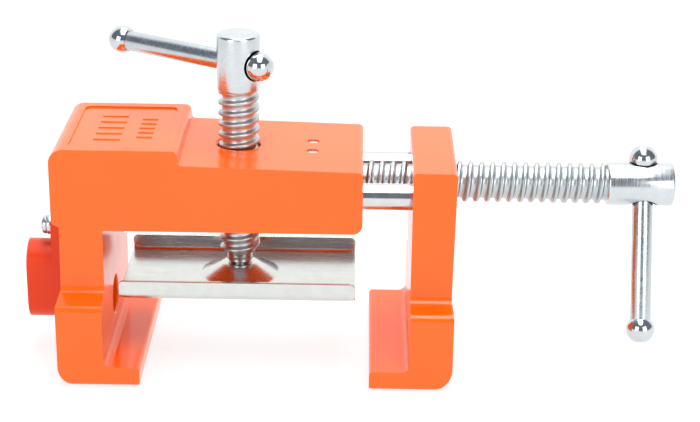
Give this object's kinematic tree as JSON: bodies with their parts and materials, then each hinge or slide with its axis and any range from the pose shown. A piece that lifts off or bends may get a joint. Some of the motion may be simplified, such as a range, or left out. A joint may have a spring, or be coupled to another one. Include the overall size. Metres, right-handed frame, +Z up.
{
  "type": "cabinet face frame clamp",
  "caption": "Cabinet face-frame clamp: C frame, sliding jaw on a clamp screw and guide rods, press screw with a level plate, and a swinging drill guide.",
  "frame": {"origin": "centre of the bounding box in X and Y, at the underside of the feet", "axes": "+X along the clamp screw towards its handle, +Y across the feet, +Z up"},
  "size_m": [0.187, 0.0584, 0.0963],
  "materials": {
    "orange_coat": "glossy orange powder coat on a casting",
    "guide_coat": "glossy red-orange coat",
    "bright_plate": "bright nickel plate",
    "sheet_steel": "satin zinc plate on sheet steel",
    "tool_steel": "ground hardened steel"
  },
  "bodies": {
    "frame": {"clamp_body": "orange_coat", "screw_retaining_pin_front": "bright_plate", "screw_retaining_pin_rear": "bright_plate", "guide_pivot_screw": "bright_plate", "guide_spring_washer": "bright_plate"},
    "jaw": {"moving_jaw": "orange_coat", "guide_rod_front": "bright_plate", "guide_rod_rear": "bright_plate"},
    "main_spindle": {"clamp_screw": "bright_plate"},
    "main_handle": {"clamp_handle_bar": "bright_plate", "clamp_handle_ball_upper": "bright_plate", "clamp_handle_ball_lower": "bright_plate"},
    "press_carrier": {"press_retaining_washer": "bright_plate"},
    "press_spindle": {"press_screw": "bright_plate", "press_retaining_ring": "tool_steel"},
    "press_handle": {"press_handle_bar": "bright_plate", "press_handle_ball_near": "bright_plate", "press_handle_ball_far": "bright_plate"},
    "plate": {"press_plate": "sheet_steel"},
    "guide": {"drill_guide": "guide_coat", "drill_guide_bushing": "tool_steel"}
  },
  "joints": [
    {"name": "main_screw_turn", "type": "hinge", "parent": "frame", "child": "main_spindle", "pos_m": [0, 0, 0.0531], "axis": [1, 0, 0], "range_deg": [-1543, 4651]},
    {"name": "jaw_slide", "type": "slide", "parent": "frame", "child": "jaw", "axis": [1, 0, 0], "range_m": [-0.0136, 0.041]},
    {"name": "main_handle_slide", "type": "slide", "parent": "main_spindle", "child": "main_handle", "axis": [0, 0.3453, 0.9385], "range_m": [0, 0.035]},
    {"name": "press_travel", "type": "slide", "parent": "frame", "child": "press_carrier", "axis": [0, 0, 1], "range_m": [-0.0149, 0.016]},
    {"name": "press_screw_turn", "type": "hinge", "parent": "press_carrier", "child": "press_spindle", "pos_m": [-0.0316, 0, 0.09], "axis": [0, 0, 1], "range_deg": [-1685, 1810]},
    {"name": "press_handle_slide", "type": "slide", "parent": "press_spindle", "child": "press_handle", "axis": [0.8462, -0.5329, 0], "range_m": [0, 0.035]},
    {"name": "plate_swivel", "type": "hinge", "parent": "press_carrier", "child": "plate", "pos_m": [-0.0316, 0, 0.025], "axis": [0, 0, 1], "range_deg": [-6.5, 6.5]},
    {"name": "guide_swing", "type": "hinge", "parent": "frame", "child": "guide", "pos_m": [-0.0836, 0, 0.0377], "axis": [1, 0, 0], "range_deg": [-90, 90]}
  ],
  "couplings": [
    {"joint": "main_screw_turn", "follows": "jaw_slide", "rad_per_m": 1979},
    {"joint": "press_travel", "follows": "press_screw_turn", "m_per_rad": 0.00050532}
  ]
}
